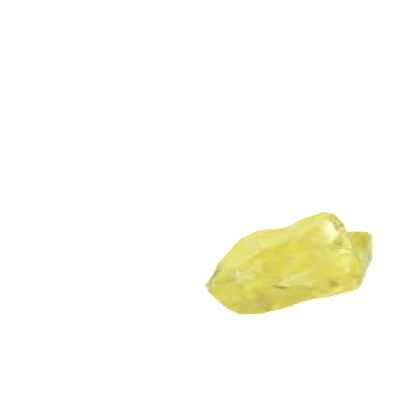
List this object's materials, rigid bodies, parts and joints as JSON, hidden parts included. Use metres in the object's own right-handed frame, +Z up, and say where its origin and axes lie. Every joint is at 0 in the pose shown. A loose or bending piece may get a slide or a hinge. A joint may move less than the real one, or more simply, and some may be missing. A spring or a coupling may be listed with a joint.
{
  "type": "raw citrine chunk",
  "caption": "Loose chunk of broken clear yellow quartz with smooth dished fracture faces, sharp ridges and a flat face to rest on.",
  "frame": {"origin": "middle of the chunk's footprint, at the height of its flat resting face", "axes": "+X along the chunk's length, from its pointed tip towards its broad end; +Y towards its back; +Z up, out of the resting face"},
  "size_m": [0.0474, 0.0318, 0.0216],
  "materials": {
    "citrine": "glassy, smooth broken faces"
  },
  "bodies": {
    "root": {"citrine_chunk": "citrine"}
  },
  "joints": []
}
